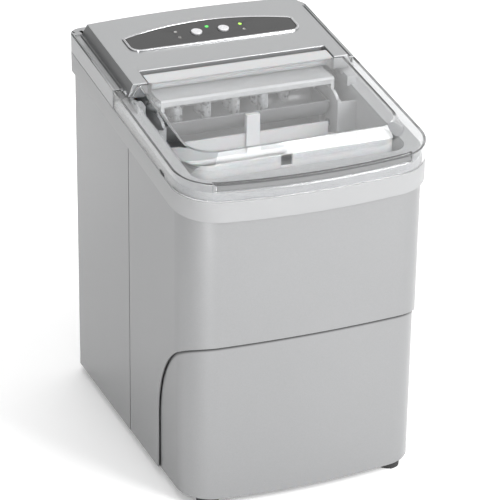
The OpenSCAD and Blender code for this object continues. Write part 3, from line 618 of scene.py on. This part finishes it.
def seam_shade():
    """The shade that the overhanging front panel leaves along the top of the panel below it."""
    group = bpy.data.node_groups.new("Seam shade", "ShaderNodeTree")
    socket(group, "Position", "NodeSocketVector", "INPUT")
    socket(group, "Shade", "NodeSocketFloat", "OUTPUT")
    given, out = group.nodes.new("NodeGroupInput"), group.nodes.new("NodeGroupOutput")
    place = node(group, "ShaderNodeSeparateXYZ", {"Vector": given.outputs["Position"]})
    back = maths(group, "MAXIMUM", maths(group, "SUBTRACT", place.outputs["Y"], SEAM_CENTRE[0]), 0.0)
    up = maths(group, "MAXIMUM", maths(group, "SUBTRACT", place.outputs["Z"], SEAM_CENTRE[1]), 0.0)
    squares = maths(group, "ADD", maths(group, "POWER", back, 2.0), maths(group, "POWER", up, 2.0))
    reach = maths(group, "SQRT", squares)
    made = node(
        group,
        "ShaderNodeMapRange",
        {"Value": maths(group, "SUBTRACT", reach, SEAM_RADIUS)},
        {"From Min": -SHADE_START, "From Max": -SHADE_DEEPEST, "To Min": 1.0, "To Max": SHADE_LEFT},
        interpolation_type="SMOOTHSTEP",
    )
    group.links.new(made.outputs["Result"], out.inputs["Shade"])
    return group


def lower_paint():
    """Silver paint of the lower front panel, shaded under the front panel's edge."""
    material = shell_paint("Silver paint below the seam")
    tree = material.node_tree
    look = first(tree, "GROUP")
    shade = node(tree, "ShaderNodeGroup", node_tree=effect(seam_shade))
    tree.links.new(first(tree, "TEX_COORD").outputs["Object"], shade.inputs["Position"])
    shaded = toned(tree, look.outputs["Colour"], shade.outputs["Shade"])
    tree.links.new(shaded, first(tree, "BSDF_PRINCIPLED").inputs["Base Color"])
    return material


def inner_plastic():
    rgb = bpy.context.scene.ice_colours.inner
    return finish("Inner grey plastic", moulded_grain, rgb, 0.35, 1300.0, 0.04, 0.05)


def basket_plastic():
    rgb = bpy.context.scene.ice_colours.basket
    return finish(
        "Milky basket plastic", moulded_grain, rgb, 0.28, 900.0, 0.03, 0.05,
        Subsurface_Weight=0.25, Subsurface_Scale=2 * MM,
    )


def lid_plastic():
    rgb = bpy.context.scene.ice_colours.lid
    material = finish(
        "Clear smoky lid", handled_gloss, rgb, 0.025, 900.0, 0.01, 0.01, 0.01 * MM,
        Transmission_Weight=1.0, IOR=1.49,
    )
    if not any(n.type == "LIGHT_PATH" for n in material.node_tree.nodes):
        let_lamps_through(material, [0.93 * part for part in rgb])
    return material


def lid_frosted():
    """The lid's hinge barrel and rear strip, which are frosted."""
    return finish(
        "Frosted lid plastic", moulded_grain, (0.42, 0.424, 0.428), 0.42, 1400.0, 0.03, 0.05,
        Subsurface_Weight=0.2, Subsurface_Scale=2 * MM,
    )


def lid_recess_painted_shade():
    """The finger recess wall of the clear lid, opaque matt dark grey: painted shade standing for the shadow under
    the flange.
    """
    return finish("Matt recess wall", moulded_grain, (0.17, 0.172, 0.174), 0.5, 1400.0, 0.03, 0.05)


def lid_edge_painted_dark():
    """The flange's polished edge, painted near-black: painted shade standing for the dark line that clear plastic
    shows when seen along the whole sheet.
    """
    return finish("Smoky lid edge", handled_gloss, (0.06, 0.061, 0.062), 0.2, 900.0, 0.01, 0.01)


def smoky_tray():
    """Smoke-grey plastic of the water tray."""
    return finish("Smoky tray plastic", moulded_grain, (0.13, 0.131, 0.133), 0.25, 1200.0, 0.04, 0.04)


def lens_black():
    rgb = bpy.context.scene.ice_colours.lens
    return finish("Black control lens", handled_gloss, rgb, 0.16, 1400.0, 0.02, 0.01, 0.01 * MM, IOR=1.4)


def bright_plating():
    rgb = (0.78, 0.78, 0.79)
    return finish("Bright plated ring", handled_gloss, rgb, 0.12, 1800.0, 0.02, 0.01, Metallic=1.0)


def button_silver():
    rgb = (0.60, 0.60, 0.61)
    return finish("Silver button cap", metal_paint, rgb, 0.30, 3600.0, 0.05, 0.03, Metallic=0.5)


def unlit_lens():
    return finish("Unlit indicator", moulded_grain, (0.42, 0.41, 0.40), 0.3, 2500.0, 0.04)


def lit_lens(name, rgb):
    return glow(finish(name, moulded_grain, rgb, 0.3, 2500.0, 0.04), rgb, 1.1)


def circuit_board():
    return finish("Circuit board", moulded_grain, (0.02, 0.14, 0.06), 0.45, 2200.0, 0.25, 0.1)


def plain_steel():
    return finish("Plain steel", drawn_metal, (0.58, 0.58, 0.58), 0.30, 2500.0, 0.12, 0.05, Metallic=1.0)


def motor_steel():
    rgb = (0.50, 0.51, 0.50)
    return finish("Zinc-plated steel", drawn_metal, rgb, 0.42, 1600.0, 0.15, 0.05, Metallic=1.0)


def rubber():
    return finish("Black rubber", moulded_grain, (0.02, 0.02, 0.02), 0.75, 1200.0, 0.15, 0.2)


def evaporator_metal():
    return finish(
        "Nickel with frost", frosted_metal, (0.36, 0.365, 0.37), 0.26, 2200.0, 0.55, 0.25, 0.1 * MM,
        Metallic=0.7,
    )


def foam():
    return finish("White foam", moulded_grain, (0.72, 0.71, 0.68), 0.9, 350.0, 0.08, 0.5, 0.3 * MM)


def dark_plastic():
    return finish("Dark grey plastic", moulded_grain, (0.07, 0.072, 0.075), 0.48, 1300.0, 0.1, 0.1)


def clear_hose():
    return finish("Milky silicone hose", moulded_grain, (0.66, 0.67, 0.66), 0.35, 700.0, 0.05, 0.05)


def black_enamel():
    return finish("Black enamel", metal_paint, (0.015, 0.015, 0.016), 0.28, 900.0, 0.1, 0.1, Coat_Weight=0.4)


def fin_metal():
    return finish("Fin aluminium", drawn_metal, (0.62, 0.63, 0.64), 0.36, 3000.0, 0.12, 0.06, Metallic=1.0)


def copper():
    return finish("Copper tube", drawn_metal, (0.72, 0.36, 0.22), 0.32, 900.0, 0.2, 0.06, Metallic=1.0)


def coil_blue():
    return finish("Blue coil cover", moulded_grain, (0.03, 0.10, 0.32), 0.42, 1500.0, 0.08, 0.08)


# The finish of each of the record's slots
SLOT_FINISH = {
    "silver_shell": silver_paint,
    "silver_cover": silver_plastic,
    "frame_grey": frame_plastic,
    "clear_lid": lid_plastic,
    "panel_black": lens_black,
    "bright_ring": bright_plating,
    "button_silver": button_silver,
    "led_green": unlit_lens,
    "board_green": circuit_board,
    "pin_steel": plain_steel,
    "rubber_black": rubber,
    "finger_metal": evaporator_metal,
    "inner_grey": inner_plastic,
    "basket_white": basket_plastic,
    "foam_white": foam,
    "dark_plastic": dark_plastic,
    "hose_clear": clear_hose,
    "can_black": black_enamel,
    "coil_metal": fin_metal,
    "motor_steel": motor_steel,
    "copper": copper,
    "valve_blue": coil_blue,
}


def slot_finish(node_name):
    """The finish of the slot that a node has in the record."""
    return SLOT_FINISH[SLOT_OF[node_name]]()


# ---- stage ----


# The side of the room that is left unlit, and how near to it the even light starts and stops falling
UNLIT_SIDE = (-0.72, 0.66, 0.12)
FALL_START = 0.35
FALL_END = 0.9

# What every softbox points at
LIT_POINT = (0.0, 0.0, 0.18)
# Each softbox by its setting: where it stands, its width and its height
SOFTBOXES = {
    "key": ((1.5, -1.9, 1.6), 1.4, 1.4),
    "strip": ((-0.78, -1.20, 0.55), 0.16, 1.1),
    "top": ((0.1, 0.3, 2.2), 1.8, 1.8),
    "back": ((0.95, 1.85, 1.75), 1.6, 1.1),
}
FLOOR_SIZE = 14.0


def aim(thing, target):
    """Turns a camera or a lamp towards a point."""
    thing.rotation_euler = (Vector(target) - thing.location).to_track_quat("-Z", "Y").to_euler()


def softbox(name, place, target, wide, tall, power):
    """A rectangular studio light."""
    lamp = bpy.data.lights.new(name, "AREA")
    lamp.shape = "RECTANGLE"
    lamp.size = wide
    lamp.size_y = tall
    lamp.energy = power
    holder = bpy.data.objects.new(name, lamp)
    holder.location = place
    aim(holder, target)
    bpy.context.scene.collection.objects.link(holder)


class ICEMAKER_OT_stage(Operator):
    """Make the camera, the pale floor and the studio light"""

    bl_idname = "icemaker.stage"
    bl_label = "Stage"

    def execute(self, context):
        studio = context.scene.ice_studio
        self.make_camera(context, studio)
        self.make_floor(studio)
        self.make_light(context, studio)
        return {"FINISHED"}

    def make_camera(self, context, studio):
        data = bpy.data.cameras.new("Camera")
        data.lens = studio.lens
        data.sensor_width = 36.0
        data.clip_start = 0.05
        data.clip_end = 50.0
        camera = bpy.data.objects.new("Camera", data)
        back = Vector((
            math.sin(studio.turn) * math.cos(studio.lift),
            -math.cos(studio.turn) * math.cos(studio.lift),
            math.sin(studio.lift),
        ))
        side = Vector((math.cos(studio.turn), math.sin(studio.turn), 0.0))
        up = back.cross(side)
        rolled_side = side * math.cos(studio.roll) + up * math.sin(studio.roll)
        rolled_up = up * math.cos(studio.roll) - side * math.sin(studio.roll)
        axes = Matrix((rolled_side, rolled_up, back)).transposed()
        camera.matrix_world = Matrix.Translation(studio.stand) @ axes.to_4x4()
        context.scene.collection.objects.link(camera)
        context.scene.camera = camera

    def make_floor(self, studio):
        bpy.ops.object.select_all(action="DESELECT")
        bpy.ops.mesh.primitive_plane_add(size=FLOOR_SIZE, location=(0.0, 0.0, 0.0))
        floor = bpy.context.active_object
        floor.name = "Floor"
        pale = finish("Pale floor", moulded_grain, studio.floor, 0.7, 300.0, 0.01, 0.02)
        dress(floor, glow(pale, (1.0, 1.0, 1.0), studio.floor_glow))

    def make_light(self, context, studio):
        for name, (place, wide, tall) in SOFTBOXES.items():
            softbox(f"{name.capitalize()} softbox", place, LIT_POINT, wide, tall, getattr(studio, name))
        context.scene.world = self.make_world(studio)
        context.scene.view_settings.view_transform = "Standard"

    def make_world(self, studio):
        """Even light all round, falling off towards the unlit back left of the room."""
        world = bpy.data.worlds.new("Studio")
        world.use_nodes = True
        tree = world.node_tree
        background = tree.nodes["Background"]
        way = node(tree, "ShaderNodeTexCoord").outputs["Generated"]
        turned = node(tree, "ShaderNodeVectorMath", {0: way}, operation="DOT_PRODUCT")
        turned.inputs[1].default_value = Vector(UNLIT_SIDE).normalized()
        shade = node(
            tree,
            "ShaderNodeMapRange",
            {"Value": turned.outputs["Value"]},
            {"From Min": FALL_START, "From Max": FALL_END, "To Min": 1.0, "To Max": studio.unlit},
            interpolation_type="SMOOTHSTEP",
        )
        strength_here = maths(tree, "MULTIPLY", shade.outputs["Result"], studio.ambient)
        tree.links.new(strength_here, background.inputs["Strength"])
        background.inputs["Color"].default_value = (1.0, 1.0, 1.0, 1.0)
        return world


# ---- pieces ----


class ICEMAKER_OT_shells(Operator):
    """Finish the painted front panel, lower front panel and rear shell"""

    bl_idname = "icemaker.shells"
    bl_label = "Painted shells"

    def execute(self, context):
        width = context.scene.ice_edges.shell
        rounded("front_panel", "Front_panel_finished", width, silver_paint())
        rounded("lower_front_panel", "Lower_panel_finished", width, lower_paint())
        rounded("rear_shell", "Rear_shell_finished", 0, silver_paint())
        return {"FINISHED"}


class ICEMAKER_OT_top_frame(Operator):
    """Finish the light grey frame round the top"""

    bl_idname = "icemaker.top_frame"
    bl_label = "Top frame"

    def execute(self, context):
        edges = context.scene.ice_edges
        piece = merged_copy("top_frame", "Top_frame_finished")
        centre = (FRAME_LOW + FRAME_HIGH) / 2
        panel_low, panel_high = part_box("front_panel")
        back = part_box("rear_shell")[1].y

        def foot_edge(edge):
            middle = (edge.verts[0].co + edge.verts[1].co) / 2
            past_shell = (
                middle.y < panel_low.y - PAST_SHELL
                or abs(middle.x - centre.x) > panel_high.x + PAST_SHELL
                or middle.y > back + PAST_SHELL
            )
            return at_frame_foot(edge) and past_shell

        outer = merged_outer_edges(piece, foot_edge)
        bevel_picked(piece, lambda edge: edge.index in outer, edges.frame_foot, 6)
        round_edges(piece, edges.frame, 2)
        dress(piece, frame_plastic())
        stand_for(piece, "top_frame")
        return {"FINISHED"}


class ICEMAKER_OT_rear_cover(Operator):
    """Finish the silver rear cover with its raised panel"""

    bl_idname = "icemaker.rear_cover"
    bl_label = "Rear cover"

    def execute(self, context):
        rounded("top_cover", "Rear_cover_finished", context.scene.ice_edges.cover, silver_plastic(), 4)
        return {"FINISHED"}


class ICEMAKER_OT_lid(Operator):
    """Finish the clear lid and its hinge pins and bumpers"""

    bl_idname = "icemaker.lid"
    bl_label = "Clear lid"

    def execute(self, context):
        piece = rounded("lid", "Lid_finished", context.scene.ice_edges.lid, lid_plastic(), 3)
        self.frost_barrel_and_paint_shade(piece)
        rounded("hinge_pins", "Hinge_pins_finished", PIN_EDGE, plain_steel(), 2)
        rounded("lid_bumpers", "Lid_bumpers_finished", PAD_EDGE, rubber(), 2)
        return {"FINISHED"}

    def frost_barrel_and_paint_shade(self, piece):
        """Frosts the hinge barrel, and gives the finger recess wall and the flange's outer edge dark materials
        that are painted shade.
        """
        for material in (lid_frosted(), lid_recess_painted_shade(), lid_edge_painted_dark()):
            piece.data.materials.append(material)
        ear_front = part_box("top_cover")[0].y
        half_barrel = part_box("hinge_pins")[1].x - BARREL_FROM_PIN_END
        for face in piece.data.polygons:
            spot, way, height = face.center, face.normal, over_rim(face.center)
            outward = way.x * spot.x + way.y * (spot.y - LID_MIDDLE_Y) > 0
            if spot.y > ear_front - 1 * MM and abs(spot.x) < half_barrel + 0.5 * MM:
                face.material_index = 1
            # The flange's outer edge faces get near-black: painted shade for clear plastic seen edge-on
            elif abs(way.z) < 0.8 and way.y < 0.5 and outward and FLANGE_FOOT < height < FLANGE_TOP:
                face.material_index = 3
            # The recess wall faces get the opaque dark grey: painted shade for the shadow under the flange
            elif way.y < -0.3 and RECESS_FOOT < height < FLANGE_FOOT and self.in_recess(spot):
                face.material_index = 2

    def in_recess(self, spot):
        """Whether a point of the lid's skirt lies in the finger recess, behind the skirt's outer face."""
        half_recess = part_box("lid")[1].x - RECESS_FROM_SIDE
        return spot.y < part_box("ice_basket")[0].y and abs(spot.x) < half_recess


class ICEMAKER_OT_controls(Operator):
    """Finish the control lens, its ring, the buttons and the indicators"""

    bl_idname = "icemaker.controls"
    bl_label = "Controls"

    def execute(self, context):
        edges = context.scene.ice_edges
        rounded("control_window", "Control_lens_finished", edges.lens, lens_black(), 3)
        self.make_ring(rounded("control_bezel", "Control_ring_finished", edges.lens, bright_plating(), 3))
        for name in ("power_button", "select_button"):
            rounded(name, name.capitalize() + "_finished", edges.button, button_silver(), 5)
        self.make_indicators(context.scene.ice_colours)
        return {"FINISHED"}

    def make_ring(self, piece):
        """A dark band along the middle of the ring's flat top, between its two bright edges."""
        piece.data.materials.append(dark_plastic())
        open_mesh(piece, "FACE")
        pick_faces(piece, lambda face: face.normal.dot(-PRESS) > 0.999)
        bpy.ops.mesh.inset(thickness=RING_EDGE, depth=0.0, use_boundary=True)
        piece.active_material_index = 1
        bpy.ops.object.material_slot_assign()
        close_mesh()

    def make_indicators(self, colours):
        """Light pipes: the one between the buttons and the upper right one are lit."""
        piece = merged_copy("status_leds", "Indicators_finished")
        round_edges(piece, INDICATOR_EDGE, 3)
        dress(
            piece,
            unlit_lens(),
            lit_lens("Lit green indicator", colours.lit),
            lit_lens("Lit lime indicator", colours.lime),
        )
        low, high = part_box("status_leds")
        middle_y = (low.y + high.y) / 2
        for face in piece.data.polygons:
            x, y = face.center.x, face.center.y
            if abs(x) < MIDDLE_INDICATOR:
                face.material_index = 1
            elif x > 0 and y > middle_y - 1 * MM:
                face.material_index = 2
        stand_for(piece, "status_leds")


class ICEMAKER_OT_ice_making(Operator):
    """Finish the freezing fingers, their cover, the brackets, the tray and the shovel"""

    bl_idname = "icemaker.ice_making"
    bl_label = "Ice making"

    def execute(self, context):
        width = context.scene.ice_edges.inner
        rounded("evaporator", "Evaporator_finished", 0, evaporator_metal())
        rounded("evaporator_cover", "Evaporator_cover_finished", width, inner_plastic())
        rounded("left_bracket", "Left_bracket_finished", width, inner_plastic(), 2)
        rounded("right_bracket", "Right_bracket_finished", width, inner_plastic(), 2)
        rounded("water_tray", "Water_tray_finished", width, smoky_tray(), 2)
        rounded("ice_shovel", "Ice_shovel_finished", width, basket_plastic(), 2)
        rounded("ice_sensors", "Ice_sensors_finished", width, dark_plastic(), 2)
        rounded("tray_motor", "Tray_motor_finished", width, dark_plastic(), 2)
        return {"FINISHED"}


class ICEMAKER_OT_ice_store(Operator):
    """Finish the ice basket, the tank, and the float with its stem"""

    bl_idname = "icemaker.ice_store"
    bl_label = "Ice store"

    def execute(self, context):
        width = context.scene.ice_edges.inner
        rounded("ice_basket", "Ice_basket_finished", width, basket_plastic(), 2)
        rounded("water_tank", "Water_tank_finished", width, inner_plastic(), 2)
        rounded("level_float", "Level_float_finished", width, basket_plastic(), 2)
        rounded("float_stem", "Float_stem_finished", width, basket_plastic(), 2)
        return {"FINISHED"}


class ICEMAKER_OT_outside_fittings(Operator):
    """Finish the feet, the drain, the cord gland and the screws"""

    bl_idname = "icemaker.outside_fittings"
    bl_label = "Outside fittings"

    def execute(self, context):
        edges = context.scene.ice_edges
        rounded("feet", "Feet_finished", edges.foot, rubber(), 4)
        rounded("drain_spout", "Drain_spout_finished", edges.inner, slot_finish("drain_spout"), 2)
        rounded("drain_cap", "Drain_cap_finished", edges.inner, slot_finish("drain_cap"), 2)
        rounded("cord_gland", "Cord_gland_finished", edges.inner, slot_finish("cord_gland"), 2)
        rounded("cover_screws", "Cover_screws_finished", SCREW_EDGE, plain_steel(), 2)
        return {"FINISHED"}


class ICEMAKER_OT_works(Operator):
    """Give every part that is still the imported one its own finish"""

    bl_idname = "icemaker.works"
    bl_label = "Works inside"

    def execute(self, context):
        for name, part in frame["nodes"].items():
            dress(part, slot_finish(name))
        return {"FINISHED"}


# ---- panel and registration ----

STEPS = (
    ICEMAKER_OT_stage,
    ICEMAKER_OT_works,
    ICEMAKER_OT_shells,
    ICEMAKER_OT_top_frame,
    ICEMAKER_OT_rear_cover,
    ICEMAKER_OT_lid,
    ICEMAKER_OT_controls,
    ICEMAKER_OT_ice_making,
    ICEMAKER_OT_ice_store,
    ICEMAKER_OT_outside_fittings,
)


class ICEMAKER_PT_bench(Panel):
    """Sizes, colours and the steps that finish the ice maker"""

    bl_idname = "ICEMAKER_PT_bench"
    bl_label = "Ice maker"
    bl_space_type = "VIEW_3D"
    bl_region_type = "UI"
    bl_category = "Ice maker"

    def draw(self, context):
        for title, settings in (
            ("Edges", context.scene.ice_edges),
            ("Colours", context.scene.ice_colours),
            ("Studio", context.scene.ice_studio),
        ):
            box = self.layout.box()
            box.label(text=title)
            for name in settings.bl_rna.properties.keys():
                if name not in {"rna_type", "name"}:
                    box.prop(settings, name)
        for step in STEPS:
            self.layout.operator(step.bl_idname)


CLASSES = (IceMakerEdges, IceMakerColours, IceMakerStudio, *STEPS, ICEMAKER_PT_bench)


def register():
    for cls in CLASSES:
        bpy.utils.register_class(cls)
    bpy.types.Scene.ice_edges = PointerProperty(type=IceMakerEdges)
    bpy.types.Scene.ice_colours = PointerProperty(type=IceMakerColours)
    bpy.types.Scene.ice_studio = PointerProperty(type=IceMakerStudio)


def unregister():
    del bpy.types.Scene.ice_studio
    del bpy.types.Scene.ice_colours
    del bpy.types.Scene.ice_edges
    for cls in reversed(CLASSES):
        bpy.utils.unregister_class(cls)


def main():
    """Registers the add-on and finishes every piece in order."""
    register()
    for step in STEPS:
        family, name = step.bl_idname.split(".")
        getattr(getattr(bpy.ops, family), name)()
    bpy.ops.object.select_all(action="DESELECT")


if __name__ == "__main__":
    main()
